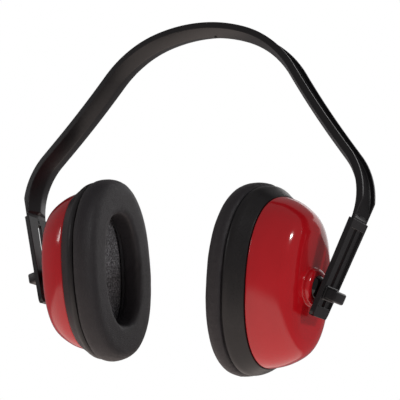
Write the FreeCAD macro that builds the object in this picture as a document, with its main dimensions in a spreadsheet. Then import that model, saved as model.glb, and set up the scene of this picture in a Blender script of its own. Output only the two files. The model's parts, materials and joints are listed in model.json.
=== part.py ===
"""Earmuff hearing protector: a sprung plastic headband with two cups on sliding ball studs.

Frame: millimetres, +Z up, +X towards the right cup. The headband lies in the XZ plane and the
origin is on the ridge of its inner face, in the middle of the crown.
"""

import FreeCAD, Part
import math
import os

import Sketcher
from FreeCAD import Placement, Rotation, Vector

# Driving dimensions, in millimetres and degrees. Each becomes one aliased cell of the sheet.
SIZES = {
    # Headband outline, along the flange's inner edge, from the crown outwards.
    "crown_radius": 86.0,
    "crown_turn": 18.3,
    "flank_radius": 58.3,
    "flank_turn": 36.4,
    "flare_radius": 558.0,
    "flare_turn": 5.1,
    "run_length": 9.1,
    "shoulder_radius": 34.8,
    "arm_lean": 19.8,
    "arm_length": 49.3,
    # Headband section: a shallow gutter with a ridge on the head's side.
    "band_width": 16.8,
    "band_wall": 1.8,
    "ridge_depth": 2.7,
    "ridge_flat": 1.6,
    "flange_width": 1.6,
    "flange_height": 3.4,
    # Slotted arm: a raised rim around a flat-floored recess with a slot through it.
    "rim_length": 51.0,
    "rim_width": 18.4,
    "rim_height": 1.9,
    "rim_end_lap": 0.6,
    "rim_taper": 1.3,
    "rim_corner": 3.0,
    "arm_skin": 0.9,
    "core_height": 1.0,
    "neck_length": 6.0,
    "neck_height": 1.2,
    "floor_height": 1.0,
    "recess_width": 13.8,
    "slot_width": 3.4,
    "slot_start": 5.0,
    "slot_end": 46.5,
    # Ball stud, adjuster button and its spring washer.
    "ball_radius": 6.5,
    "ball_to_band": 7.5,
    "pin_shoulder": 0.25,
    "pin_radius": 1.3,
    "pin_length": 5.0,
    "washer_thickness": 0.4,
    "washer_width": 13.0,
    "washer_height": 7.4,
    "foot_thickness": 0.9,
    "button_width": 12.0,
    "button_height": 5.8,
    "button_length": 6.6,
    "button_round": 1.2,
    # Swivel washer and retainer behind the ball.
    "swivel_wall": 0.9,
    "swivel_hole": 1.6,
    "swivel_reach": 45.0,
    "retainer_radius": 9.0,
    "retainer_depth": 10.5,
    "socket_ledge": 1.3,
    # Cup, measured outwards from the face that seals on the head.
    "cup_depth": 41.8,
    "ball_proud": 1.3,
    "rim_depth": 21.6,
    "rim_half_width": 29.8,
    "rim_half_height": 43.9,
    "shell_wall": 2.2,
    "boss_radius": 9.5,
    "boss_rise": 2.5,
    "boss_round": 2.0,
    "socket_wall": 2.3,
    # Base ring between shell and cushion.
    "base_depth": 11.6,
    "base_half_width": 35.6,
    "base_half_height": 48.7,
    "base_opening_width": 24.0,
    "base_opening_height": 37.6,
    "spigot_length": 3.0,
    "spigot_wall": 1.6,
    # Sealing cushion.
    "cushion_half_width": 37.9,
    "cushion_half_height": 49.6,
    "cushion_back": 10.2,
    "hole_half_width": 18.0,
    "hole_half_height": 31.5,
    "cover_thickness": 0.8,
    "plate_thickness": 1.2,
    # Foam liner inside the cup.
    "liner_front": 18.0,
    "liner_thickness": 12.0,
    "liner_half_width": 23.9,
    "liner_half_height": 37.6,
    # Clearances.
    "running_gap": 0.05,
    "slide_gap": 0.1,
    "seat_gap": 0.1,
    # How each cup hangs on its arm.
    "right_stud_height": 12.2,
    "left_stud_height": 15.8,
    "right_cup_tilt": 5.6,
    "left_cup_tilt": 4.5,
    "cup_yaw": 5.0,
    "cup_spin": 15.0,
}

OVAL_POWER = 2.33
OVAL_POINTS = 24

# Shell outline between its rim and its flat top: share of the depth, width and height kept.
SHELL_STATIONS = (
    (0.00, 1.000, 1.000),
    (0.30, 0.955, 0.962),
    (0.60, 0.860, 0.892),
    (0.82, 0.755, 0.815),
    (0.95, 0.615, 0.722),
    (1.00, 0.450, 0.620),
)

# Cushion outline from its back to its flat face: share of the depth, width and height kept.
CUSHION_STATIONS = (
    (0.00, 0.915, 0.975),
    (0.22, 0.975, 0.994),
    (0.46, 1.000, 1.000),
    (0.70, 0.965, 0.978),
    (0.88, 0.880, 0.930),
    (1.00, 0.745, 0.850),
)


class Quantity:
    """A number that also knows the spreadsheet expression it comes from."""

    def __init__(self, value, text):
        self.value = float(value)
        self.text = text

    @staticmethod
    def of(other):
        if isinstance(other, Quantity):
            return other
        return Quantity(other, repr(float(other)))

    def joined(self, other, sign, value):
        return Quantity(value, f"({self.text} {sign} {Quantity.of(other).text})")

    def __add__(self, other):
        return self.joined(other, "+", self.value + Quantity.of(other).value)

    def __sub__(self, other):
        return self.joined(other, "-", self.value - Quantity.of(other).value)

    def __mul__(self, other):
        return self.joined(other, "*", self.value * Quantity.of(other).value)

    def __truediv__(self, other):
        return self.joined(other, "/", self.value / Quantity.of(other).value)

    def __neg__(self):
        return Quantity(-self.value, f"(-1 * {self.text})")


class Sheet:
    """The document's spreadsheet, with each cell read back as a Quantity."""

    def __init__(self, doc):
        self.cells = doc.addObject("Spreadsheet::Sheet", "sizes")
        for row, (name, value) in enumerate(SIZES.items(), start=1):
            self.cells.set(f"A{row}", name)
            self.cells.set(f"B{row}", str(value))
            self.cells.setAlias(f"B{row}", name)
        doc.recompute()

    def __getattr__(self, name):
        return Quantity(self.cells.get(name), f"sizes.{name}")


doc = FreeCAD.newDocument("earmuff")
size = Sheet(doc)
parts = []


# ---------------------------------------------------------------- sketch and feature helpers


def new_body(label, placement=None):
    """An empty PartDesign body that will be written as one sub-part."""
    body = doc.addObject("PartDesign::Body", label)
    body.Label = label
    body.Placement = placement or Placement()
    parts.append(body)
    return body


def origin_feature(body, role):
    """One of the body's own origin planes, found by its role."""
    return next(item for item in body.Origin.OriginFeatures if item.Role == role)


def new_sketch(body, name, role, offset=None):
    """A sketch on one of the body's origin planes."""
    sketch = body.newObject("Sketcher::SketchObject", name)
    sketch.AttachmentSupport = [(origin_feature(body, role), "")]
    sketch.MapMode = "FlatFace"
    if offset:
        sketch.AttachmentOffset = offset
    return sketch


def constrain(sketch, kind, *arguments, quantity):
    """Add a dimension that follows the spreadsheet."""
    index = sketch.addConstraint(Sketcher.Constraint(kind, *arguments, quantity.value))
    sketch.setExpression(f"Constraints[{index}]", quantity.text)


def pin_point(sketch, geometry, end, x, y):
    """Tie one end of a sketch element to a place given by two quantities."""
    for kind, axis, quantity in (("DistanceX", -2, x), ("DistanceY", -1, y)):
        quantity = Quantity.of(quantity)
        if abs(quantity.value) < 1e-9:
            sketch.addConstraint(Sketcher.Constraint("PointOnObject", geometry, end, axis))
        else:
            constrain(sketch, kind, -1, 1, geometry, end, quantity=quantity)


def polygon(sketch, points):
    """A closed outline of straight edges through points whose coordinates are quantities."""
    corners = [Vector(Quantity.of(x).value, Quantity.of(y).value, 0) for x, y in points]
    count = len(corners)
    first = sketch.GeometryCount
    for index in range(count):
        sketch.addGeometry(Part.LineSegment(corners[index], corners[(index + 1) % count]))
    for index in range(count):
        follower = first + (index + 1) % count
        sketch.addConstraint(Sketcher.Constraint("Coincident", first + index, 2, follower, 1))
    for index, (x, y) in enumerate(points):
        pin_point(sketch, first + index, 1, x, y)


def rectangle(sketch, low_x, high_x, low_y, high_y):
    """An upright rectangle between four quantities."""
    polygon(sketch, [(low_x, low_y), (high_x, low_y), (high_x, high_y), (low_x, high_y)])


def circle(sketch, radius):
    """A circle about the sketch's origin."""
    index = sketch.addGeometry(Part.Circle(Vector(), Vector(0, 0, 1), radius.value))
    sketch.addConstraint(Sketcher.Constraint("Coincident", index, 3, -1, 1))
    constrain(sketch, "Radius", index, quantity=radius)


def set_size(feature, name, quantity):
    """Bind one property of a feature to the spreadsheet."""
    feature.setExpression(name, quantity.text)


def extrude(body, kind, name, sketch, length, symmetric=False, reverse=False):
    """A Pad or Pocket of a sketch, with its length bound to the spreadsheet."""
    feature = body.newObject(f"PartDesign::{kind}", name)
    feature.Profile = sketch
    feature.Reversed = reverse
    if symmetric:
        feature.SideType = "Symmetric"
    set_size(feature, "Length", length)
    return feature


def revolve(body, name, sketch):
    """A full turn of a sketch about its own horizontal axis."""
    feature = body.newObject("PartDesign::Revolution", name)
    feature.Profile = sketch
    feature.ReferenceAxis = (sketch, ["H_Axis"])
    feature.Angle = 360.0
    return feature


def round_edges(body, name, kind, radius, wanted):
    """Fillet or chamfer the edges of the body's tip that the test picks."""
    base = body.Tip
    names = [f"Edge{i}" for i, edge in enumerate(base.Shape.Edges, start=1) if wanted(edge)]
    feature = body.newObject(f"PartDesign::{kind}", name)
    feature.Base = (base, names)
    set_size(feature, "Radius" if kind == "Fillet" else "Size", radius)
    return feature


def along(edge, axis):
    """Whether an edge is straight and parallel to an axis."""
    if edge.Curve.TypeId != "Part::GeomLine":
        return False
    return abs(abs(edge.Curve.Direction.dot(axis)) - 1.0) < 1e-6


# ---------------------------------------------------------------- places worked out from sizes


def as_angle(degrees):
    """An angle for a sketch: radians as its value, degrees in its expression."""
    return Quantity(math.radians(degrees.value), f"({degrees.text} * 1 deg)")


def sine(quantity):
    return math.sin(math.radians(quantity.value))


def cosine(quantity):
    return math.cos(math.radians(quantity.value))


def arm_end():
    """Where the headband's outline ends, found by walking along its runs and arcs."""
    place = Vector(0, 0, size.ridge_depth.value)
    heading = 0.0

    def turn(radius, angle):
        nonlocal place, heading
        bend = math.copysign(radius.value, angle)
        after = heading + math.radians(angle)
        place += Vector(math.sin(after) - math.sin(heading), 0, math.cos(after) - math.cos(heading)) * bend
        heading = after

    def run(length):
        nonlocal place
        place += Vector(math.cos(heading), 0, -math.sin(heading)) * length.value

    turn(size.crown_radius, size.crown_turn.value)
    turn(size.flank_radius, size.flank_turn.value)
    turn(size.flare_radius, -size.flare_turn.value)
    run(size.run_length)
    turn(size.shoulder_radius, shoulder_turn().value)
    run(size.arm_length)
    return place


def shoulder_turn():
    """The shoulder turns the band from its flare to the lean of the arm."""
    return size.arm_lean - size.crown_turn - size.flank_turn + size.flare_turn + 90.0


ARM_END = arm_end()


def mirrored_x(vector, side):
    """A place given for the right side, or its mirror image on the left."""
    return Vector(vector.x * side, vector.y, vector.z)


def stud_placement(side):
    """Frame of one slider: origin at the ball, +X outwards through the arm, +Z up the arm."""
    height = (size.right_stud_height if side > 0 else size.left_stud_height).value
    outward = Vector(cosine(size.arm_lean), 0, -sine(size.arm_lean))
    upward = Vector(sine(size.arm_lean), 0, cosine(size.arm_lean))
    ball = ARM_END + upward * height - outward * size.ball_to_band.value
    turn = Rotation(Vector(0, 1, 0), size.arm_lean.value)
    if side < 0:
        turn = Rotation(Vector(0, 0, 1), 180) * turn
    return Placement(mirrored_x(ball, side), turn)


def cup_placement(side):
    """Frame of one cup: origin at the ball, +X outwards, +Z up the cup."""
    tilt = (size.right_cup_tilt if side > 0 else size.left_cup_tilt).value
    turn = Rotation(Vector(0, 0, 1), -side * size.cup_yaw.value)
    turn = turn * Rotation(Vector(0, 1, 0), side * tilt)
    turn = turn * Rotation(Vector(1, 0, 0), size.cup_spin.value)
    if side < 0:
        turn = turn * Rotation(Vector(0, 0, 1), 180)
    return Placement(stud_placement(side).Base, turn)


# ---------------------------------------------------------------- headband


def band_path(body):
    """The right half of the outline, as tangent arcs and runs, from the crown to the arm's end."""
    sketch = new_sketch(body, "band_path", "XZ_Plane")
    place = Vector(0, size.ridge_depth.value, 0)
    heading = 0.0
    pieces = (
        (size.crown_radius, size.crown_turn),
        (size.flank_radius, size.flank_turn),
        (size.flare_radius, -size.flare_turn),
        (None, size.run_length),
        (size.shoulder_radius, shoulder_turn()),
        (None, size.arm_length),
    )
    last_end = None
    for radius, amount in pieces:
        if radius is None:
            start = place
            place = start + Vector(math.cos(heading), -math.sin(heading), 0) * amount.value
            index = sketch.addGeometry(Part.LineSegment(start, place))
            constrain(sketch, "Distance", index, quantity=amount)
            start_end, far_end = 1, 2
        else:
            bend = math.copysign(radius.value, amount.value)
            after = heading + math.radians(amount.value)
            centre = place - Vector(math.sin(heading), math.cos(heading), 0) * bend
            place = centre + Vector(math.sin(after), math.cos(after), 0) * bend
            low, high = sorted((math.pi / 2 - heading, math.pi / 2 - after))
            if bend < 0:
                low, high = low + math.pi, high + math.pi
            ring = Part.Circle(centre, Vector(0, 0, 1), radius.value)
            index = sketch.addGeometry(Part.ArcOfCircle(ring, low, high))
            constrain(sketch, "Radius", index, quantity=radius)
            turn = amount if amount.value > 0 else -amount
            constrain(sketch, "Angle", index, quantity=as_angle(turn))
            start_end, far_end = (2, 1) if bend > 0 else (1, 2)
            heading = after
        if last_end is None:
            pin_point(sketch, index, start_end, 0, size.ridge_depth)
            sketch.addConstraint(Sketcher.Constraint("PointOnObject", index, 3, -2))
        else:
            sketch.addConstraint(Sketcher.Constraint("Tangent", index, start_end, *last_end))
        last_end = (index, far_end)
    return sketch


def band_section(body):
    """The gutter's outline in the plane of the crown's middle."""
    sketch = new_sketch(body, "band_section", "YZ_Plane")
    half = size.band_width / 2
    ridge = size.ridge_flat / 2
    inside = half - size.flange_width
    slope = size.ridge_depth / (half - ridge)
    side = [
        (ridge, 0),
        (half, size.ridge_depth),
        (half, size.ridge_depth + size.flange_height),
        (inside, size.ridge_depth + size.flange_height),
        (inside, slope * (inside - ridge) + size.band_wall),
        (ridge, size.band_wall),
    ]
    mirror = [(-x, y) for x, y in reversed(side)]
    polygon(sketch, side + mirror)
    return sketch


def arm_sketch(body, name, low_out, high_out, low_up, high_up):
    """A rectangle in the arm's side view: outwards from the outline, and up from the arm's end."""
    turn = Rotation(Vector(0, 0, 1), -size.arm_lean.value)
    offset = Placement(Vector(ARM_END.x, ARM_END.z, 0), turn)
    sketch = new_sketch(body, name, "XZ_Plane", offset)
    rectangle(sketch, low_out, high_out, low_up, high_up)
    return sketch


def taper_sketch(body):
    """Two wedges beside the arm, seen square on, that narrow its rim towards the end."""
    turn = Rotation(Vector(1, 0, 0), size.arm_lean.value)
    sketch = new_sketch(body, "taper_outline", "YZ_Plane", Placement(Vector(0, ARM_END.z, ARM_END.x), turn))
    half = size.rim_width / 2
    low = -size.rim_end_lap
    for sign in (1, -1):
        near, far = half * sign, size.rim_width * sign
        narrow = near - size.rim_taper * sign
        polygon(sketch, [(narrow, low), (near, size.rim_length), (far, size.rim_length), (far, low)])
    return sketch


def make_headband():
    """The sprung band, with a slotted and rimmed arm at each end."""
    body = new_body("headband")
    section = band_section(body)
    path = band_path(body)
    doc.recompute()
    sweep = body.newObject("PartDesign::AdditivePipe", "band_sweep")
    sweep.Profile = section
    sweep.Spine = (path, [])
    doc.recompute()
    low = -size.rim_end_lap
    flat_top = size.rim_length + size.neck_length
    core = arm_sketch(body, "core_side", -size.arm_skin, size.core_height, low, flat_top)
    extrude(body, "Pad", "core", core, size.band_width, symmetric=True)
    rim = arm_sketch(body, "rim_side", -size.arm_skin, size.rim_height, low, size.rim_length)
    extrude(body, "Pad", "rim", rim, size.rim_width, symmetric=True)
    far = size.ridge_depth + size.flange_height
    wide = size.rim_width * 2
    inner = arm_sketch(body, "inner_face_side", -far, -size.arm_skin, low * 3, flat_top)
    extrude(body, "Pocket", "inner_face", inner, wide, symmetric=True)
    trim_low = arm_sketch(body, "rim_top_side", size.rim_height, far, low * 3, size.rim_length)
    extrude(body, "Pocket", "rim_top", trim_low, wide, symmetric=True)
    trim_end = size.rim_length + size.shoulder_radius
    trim_high = arm_sketch(body, "neck_top_side", size.neck_height, far, size.rim_length, trim_end)
    extrude(body, "Pocket", "neck_top", trim_high, wide, symmetric=True)
    slot = (size.slot_start, size.slot_end)
    recess = arm_sketch(body, "recess_side", size.floor_height, far, *slot)
    extrude(body, "Pocket", "recess", recess, size.recess_width, symmetric=True)
    through = arm_sketch(body, "slot_side", -far, far, *slot)
    extrude(body, "Pocket", "slot", through, size.slot_width, symmetric=True)
    extrude(body, "Pocket", "taper", taper_sketch(body), wide, symmetric=True)
    doc.recompute()
    outward = Vector(cosine(size.arm_lean), 0, -sine(size.arm_lean))
    corner_reach = ARM_END.z + size.rim_corner.value

    def at_low_end(edge):
        return along(edge, outward) and edge.CenterOfMass.z < corner_reach - 2.0

    round_edges(body, "rim_corners", "Fillet", size.rim_corner, at_low_end)
    doc.recompute()
    mirror = body.newObject("PartDesign::Mirrored", "left_half")
    mirror.TransformMode = "Whole shape"
    mirror.MirrorPlane = (origin_feature(body, "YZ_Plane"), [""])
    body.Tip = mirror
    return body


# ---------------------------------------------------------------- slider: stud, washer and button


def washer_seat():
    """Height of the spring washer's underside above the ball, just clear of the recess floor."""
    return size.ball_to_band + size.floor_height + size.slide_gap


def foot_seat():
    """Height of the button's underside above the ball."""
    return washer_seat() + size.washer_thickness


def lifted(height):
    """Offset that lifts a YZ sketch to a height above the ball."""
    return Placement(Vector(0, 0, height.value), Rotation())


def upright(sketch, width, height):
    """A rectangle centred on the sketch's origin."""
    rectangle(sketch, -width / 2, width / 2, -height / 2, height / 2)


def lift(sketch, height):
    """Tie a sketch's height above the ball to the spreadsheet."""
    sketch.setExpression(".AttachmentOffset.Base.z", height.text)


def make_ball_stud(label, placement):
    body = new_body(label, placement)
    sketch = new_sketch(body, "stud_profile", "XZ_Plane")
    ball, neck, pin = size.ball_radius, size.pin_radius + size.pin_shoulder, size.pin_radius
    shoulder = foot_seat()
    tip = shoulder + size.pin_length
    neck_angle = math.asin(neck.value / ball.value)
    ring = Part.Circle(Vector(), Vector(0, 0, 1), ball.value)
    arc = sketch.addGeometry(Part.ArcOfCircle(ring, neck_angle, math.pi))
    start = Vector(math.cos(neck_angle), math.sin(neck_angle), 0) * ball.value
    corners = [start]
    for x, y in ((shoulder, neck), (shoulder, pin), (tip, pin), (tip, Quantity(0, "0"))):
        corners.append(Vector(x.value, y.value, 0))
    corners.append(Vector(-ball.value, 0, 0))
    for first, second in zip(corners, corners[1:]):
        sketch.addGeometry(Part.LineSegment(first, second))
    sketch.addConstraint(Sketcher.Constraint("Coincident", arc, 3, -1, 1))
    constrain(sketch, "Radius", arc, quantity=ball)
    sketch.addConstraint(Sketcher.Constraint("Coincident", arc, 1, 1, 1))
    for index in range(1, 5):
        sketch.addConstraint(Sketcher.Constraint("Coincident", index, 2, index + 1, 1))
    sketch.addConstraint(Sketcher.Constraint("Coincident", 5, 2, arc, 2))
    sketch.addConstraint(Sketcher.Constraint("PointOnObject", arc, 2, -1))
    sketch.addConstraint(Sketcher.Constraint("Horizontal", 1))
    pin_point(sketch, 1, 2, shoulder, neck)
    pin_point(sketch, 2, 2, shoulder, pin)
    pin_point(sketch, 3, 2, tip, pin)
    pin_point(sketch, 4, 2, tip, 0)
    doc.recompute()
    revolve(body, "stud", sketch)
    return body


def make_spring_washer(label, placement):
    body = new_body(label, placement)
    sketch = new_sketch(body, "washer_outline", "YZ_Plane", lifted(washer_seat()))
    lift(sketch, washer_seat())
    upright(sketch, size.washer_width, size.washer_height)
    circle(sketch, size.pin_radius + size.pin_shoulder + size.running_gap)
    extrude(body, "Pad", "washer", sketch, size.washer_thickness)
    return body


def make_button(label, placement):
    body = new_body(label, placement)
    foot = new_sketch(body, "foot_outline", "YZ_Plane", lifted(foot_seat()))
    lift(foot, foot_seat())
    upright(foot, size.washer_width, size.washer_height)
    extrude(body, "Pad", "foot", foot, size.foot_thickness)
    doc.recompute()
    top = foot_seat().value + size.foot_thickness.value
    round_edges(
        body, "foot_edge", "Chamfer", size.foot_thickness / 2,
        lambda edge: abs(edge.BoundBox.XMin - top) < 1e-6,
    )
    post = new_sketch(body, "post_outline", "YZ_Plane", lifted(foot_seat()))
    lift(post, foot_seat())
    upright(post, size.button_width, size.button_height)
    extrude(body, "Pad", "post", post, size.button_length)
    doc.recompute()
    crown = foot_seat().value + size.button_length.value
    round_edges(
        body, "post_edges", "Fillet", size.button_round,
        lambda edge: edge.BoundBox.XMax > crown - 1e-3,
    )
    bore = new_sketch(body, "bore_outline", "YZ_Plane", lifted(foot_seat()))
    lift(bore, foot_seat())
    circle(bore, size.pin_radius + size.running_gap)
    doc.recompute()
    extrude(body, "Pocket", "bore", bore, size.pin_length + size.seat_gap, reverse=True)
    return body


# ---------------------------------------------------------------- ball socket parts in the cup


def sector_profile(sketch, inner, outer, first_angle, last_angle):
    """A slice of a ring about the origin, between two radii and two angles."""
    points = []
    for angle in (first_angle, last_angle):
        direction = Vector(math.cos(angle), math.sin(angle), 0)
        points.append((direction * inner.value, direction * outer.value))
    axis = Vector(0, 0, 1)
    low, high = sorted((first_angle, last_angle))
    in_arc = sketch.addGeometry(Part.ArcOfCircle(Part.Circle(Vector(), axis, inner.value), low, high))
    out_arc = sketch.addGeometry(Part.ArcOfCircle(Part.Circle(Vector(), axis, outer.value), low, high))
    rim = sketch.addGeometry(Part.LineSegment(*points[0]))
    eye = sketch.addGeometry(Part.LineSegment(*points[1]))
    for arc, radius, end in ((in_arc, inner, 1), (out_arc, outer, 2)):
        sketch.addConstraint(Sketcher.Constraint("Coincident", arc, 3, -1, 1))
        constrain(sketch, "Radius", arc, quantity=radius)
        sketch.addConstraint(Sketcher.Constraint("Coincident", arc, 1, rim, end))
        sketch.addConstraint(Sketcher.Constraint("Coincident", arc, 2, eye, end))
    return rim, eye


def make_swivel_washer(label, placement):
    """A dished washer that floats between the ball and its retainer."""
    body = new_body(label, placement)
    sketch = new_sketch(body, "dish_profile", "XZ_Plane")
    inner = size.ball_radius + size.running_gap
    outer = inner + size.swivel_wall
    rim_angle = math.pi - math.radians(size.swivel_reach.value)
    eye_angle = math.pi - math.asin(size.swivel_hole.value / inner.value)
    rim, eye = sector_profile(sketch, inner, outer, rim_angle, eye_angle)
    reach = Quantity(sine(size.swivel_reach), f"sin({as_angle(size.swivel_reach).text})")
    for end, radius in ((1, inner), (2, outer)):
        constrain(sketch, "DistanceY", -1, 1, eye, end, quantity=size.swivel_hole)
        constrain(sketch, "DistanceY", -1, 1, rim, end, quantity=radius * reach)
    doc.recompute()
    revolve(body, "dish", sketch)
    return body


def retainer_cavity():
    """Radius of the hollow that the swivel washer turns in."""
    return size.ball_radius + size.running_gap * 2 + size.swivel_wall


def make_retainer(label, placement):
    """A plug with a round hollow that closes the socket from inside the cup."""
    body = new_body(label, placement)
    sketch = new_sketch(body, "plug_outline", "YZ_Plane", lifted(-size.retainer_depth))
    lift(sketch, -size.retainer_depth)
    circle(sketch, size.retainer_radius)
    extrude(body, "Pad", "plug", sketch, size.retainer_depth - size.socket_ledge)
    doc.recompute()
    hollow = new_sketch(body, "hollow_profile", "XZ_Plane")
    radius = retainer_cavity()
    ring = Part.Circle(Vector(), Vector(0, 0, 1), radius.value)
    arc = hollow.addGeometry(Part.ArcOfCircle(ring, 0, math.pi))
    line = hollow.addGeometry(Part.LineSegment(Vector(-radius.value, 0, 0), Vector(radius.value, 0, 0)))
    hollow.addConstraint(Sketcher.Constraint("Coincident", arc, 3, -1, 1))
    constrain(hollow, "Radius", arc, quantity=radius)
    hollow.addConstraint(Sketcher.Constraint("Coincident", arc, 2, line, 1))
    hollow.addConstraint(Sketcher.Constraint("Coincident", arc, 1, line, 2))
    hollow.addConstraint(Sketcher.Constraint("PointOnObject", arc, 1, -1))
    hollow.addConstraint(Sketcher.Constraint("PointOnObject", arc, 2, -1))
    doc.recompute()
    groove = body.newObject("PartDesign::Groove", "hollow")
    groove.Profile = hollow
    groove.ReferenceAxis = (hollow, ["H_Axis"])
    groove.Angle = 360.0
    return body


# ---------------------------------------------------------------- oval pieces of the cup


def oval(depth, half_width, half_height):
    """A closed oval across the cup, at a depth outwards from its sealing face."""
    along_x = depth - (size.cup_depth + size.ball_proud).value
    points = []
    for step in range(OVAL_POINTS):
        angle = 2 * math.pi * step / OVAL_POINTS
        spread = abs(math.cos(angle) / half_width) ** OVAL_POWER
        spread += abs(math.sin(angle) / half_height) ** OVAL_POWER
        reach = spread ** (-1 / OVAL_POWER)
        points.append(Vector(along_x, reach * math.cos(angle), reach * math.sin(angle)))
    curve = Part.BSplineCurve()
    curve.interpolate(Points=points, PeriodicFlag=True)
    return Part.Wire([curve.toShape()])


def oval_loft(stations):
    """A closed solid through ovals given as depth, half width and half height."""
    return Part.makeLoft([oval(*station) for station in stations], True, False)


def disc(radius, low, high):
    """A cylinder on the cup's axis between two distances from the ball."""
    return Part.makeCylinder(radius, high - low, Vector(low, 0, 0), Vector(1, 0, 0))


def add_solid(label, shape, placement):
    """A sub-part whose shape is made with Part's own functions."""
    feature = doc.addObject("Part::Feature", label)
    feature.Label = label
    feature.Shape = shape.Solids[0] if len(shape.Solids) == 1 else shape
    feature.Placement = placement
    parts.append(feature)
    return feature


def shell_stations(inset):
    """Outline of the shell, or of its hollow when it is inset by the wall."""
    rim = size.rim_depth.value
    rise = size.cup_depth.value - rim
    return [
        (
            rim + share * (rise - inset),
            size.rim_half_width.value * width - inset,
            size.rim_half_height.value * height - inset,
        )
        for share, width, height in SHELL_STATIONS
    ]


def make_cup_shell(label, placement):
    ledge = -size.socket_ledge.value
    bore = size.retainer_radius.value + size.seat_gap.value
    boss_top = size.boss_rise.value
    flat = -size.ball_proud.value
    socket_end = -size.retainer_depth.value + size.seat_gap.value
    shell = oval_loft(shell_stations(0.0)).cut(oval_loft(shell_stations(size.shell_wall.value)))
    boss = disc(size.boss_radius.value, flat - size.shell_wall.value, boss_top)
    rim_edge = [
        edge for edge in boss.Edges
        if abs(edge.BoundBox.XMin - boss_top) < 1e-3 and edge.Curve.TypeId == "Part::GeomCircle"
    ]
    boss = boss.makeFillet(size.boss_round.value, rim_edge)
    tube = disc(bore + size.socket_wall.value, socket_end, flat - size.shell_wall.value / 2)
    shell = shell.fuse(boss).fuse(tube)
    shell = shell.cut(disc(bore, socket_end - 1.0, ledge))
    shell = shell.cut(Part.makeSphere(size.ball_radius.value + size.running_gap.value))
    return add_solid(label, shell.removeSplitter(), placement)


def make_base_ring(label, placement):
    """Hard ring with a spigot that snaps into the shell's rim."""
    back = size.base_depth.value
    rim = size.rim_depth.value - size.seat_gap.value
    width, height = size.base_half_width.value, size.base_half_height.value
    rim_width, rim_height = size.rim_half_width.value, size.rim_half_height.value
    outside = oval_loft([
        (back, width - 0.6, height - 0.6),
        (back + 1.2, width, height),
        (back + (rim - back) * 0.55, (width + rim_width) / 2 + 0.7, (height + rim_height) / 2 + 0.7),
        (rim, rim_width + 0.3, rim_height + 0.3),
    ])
    fit = size.shell_wall.value + size.seat_gap.value
    spigot_top = size.rim_depth.value + size.spigot_length.value
    taper = 0.8
    spigot = oval_loft([
        (rim - 1.0, rim_width - fit - taper, rim_height - fit - taper),
        (spigot_top, rim_width - fit - taper * 2, rim_height - fit - taper * 2),
    ])
    wall = size.spigot_wall.value
    opening = oval_loft([
        (back - 1.0, size.base_opening_width.value, size.base_opening_height.value),
        (spigot_top + 1.0, rim_width - fit - taper * 2 - wall, rim_height - fit - taper * 2 - wall),
    ])
    return add_solid(label, outside.fuse(spigot).cut(opening).removeSplitter(), placement)


def cushion_stations(inset, front_inset):
    """Outline of the cushion, or of the foam inside its cover."""
    back = size.cushion_back.value
    return [
        (
            back - share * (back - front_inset),
            size.cushion_half_width.value * width - inset,
            size.cushion_half_height.value * height - inset,
        )
        for share, width, height in CUSHION_STATIONS
    ]


def hole_block(inset):
    """The oval hole through the cushion, wider by the inset."""
    width = size.hole_half_width.value + inset
    height = size.hole_half_height.value + inset
    return oval_loft([(-2.0, width, height), (size.cushion_back.value + 2.0, width, height)])


def cushion_foam_shape():
    skin = size.cover_thickness.value
    return oval_loft(cushion_stations(skin, skin)).cut(hole_block(skin))


def make_cushion_foam(label, placement):
    return add_solid(label, cushion_foam_shape(), placement)


def make_cushion_cover(label, placement):
    outside = oval_loft(cushion_stations(0.0, 0.0)).cut(hole_block(0.0))
    return add_solid(label, outside.cut(cushion_foam_shape()), placement)


def make_cushion_plate(label, placement):
    """Stiff backing plate that the cover is welded to."""
    front = size.cushion_back.value
    back = front + size.plate_thickness.value
    share, width, height = CUSHION_STATIONS[0]
    outer = (size.cushion_half_width.value * width, size.cushion_half_height.value * height)
    inner = (size.hole_half_width.value, size.hole_half_height.value)
    hole = oval_loft([(front - 1, *inner), (back + 1, *inner)])
    plate = oval_loft([(front, *outer), (back, *outer)]).cut(hole)
    return add_solid(label, plate, placement)


def make_foam_liner(label, placement):
    """Acoustic foam pad that fills the cup in front of the socket."""
    front = size.liner_front.value
    width, height = size.liner_half_width.value, size.liner_half_height.value
    liner = oval_loft([
        (front, width - 1.0, height - 1.0),
        (front + size.liner_thickness.value * 0.3, width, height),
        (front + size.liner_thickness.value, width - 2.5, height - 2.5),
    ])
    return add_solid(label, liner, placement)


# ---------------------------------------------------------------- assembly and output


make_headband()
for side, suffix in ((1, "right"), (-1, "left")):
    stud_frame = stud_placement(side)
    for name, make in (
        ("ball_stud", make_ball_stud),
        ("spring_washer", make_spring_washer),
        ("adjuster_button", make_button),
    ):
        make(f"{name}_{suffix}", stud_frame)
    cup_frame = cup_placement(side)
    for name, make in (
        ("swivel_washer", make_swivel_washer),
        ("socket_retainer", make_retainer),
        ("cup_shell", make_cup_shell),
        ("foam_liner", make_foam_liner),
        ("base_ring", make_base_ring),
        ("cushion_plate", make_cushion_plate),
        ("cushion_foam", make_cushion_foam),
        ("cushion_cover", make_cushion_cover),
    ):
        make(f"{name}_{suffix}", cup_frame)

doc.recompute()

for item in doc.Objects:
    if "Invalid" in item.State or "Error" in item.State:
        raise RuntimeError(f"{item.Label} failed to recompute: {item.State}")

os.makedirs("parts", exist_ok=True)
for part in parts:
    shape = part.Shape
    if shape.isNull() or not shape.isValid() or not shape.Solids:
        raise RuntimeError(f"{part.Label} has no valid solid")
    shape.exportStep(f"parts/{part.Label}.step")
    print(f"{part.Label}: {len(shape.Solids)} solid, {shape.Volume / 1000:.2f} cm3")
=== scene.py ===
"""Looks of an earmuff hearing protector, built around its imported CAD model.

Each sub-assembly is a class. Sizes are in millimetres in the classes and in metres in the meshes.
A cup is drawn in its own frame: x outwards from the ball, y across and z up the cup.
"""

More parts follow.
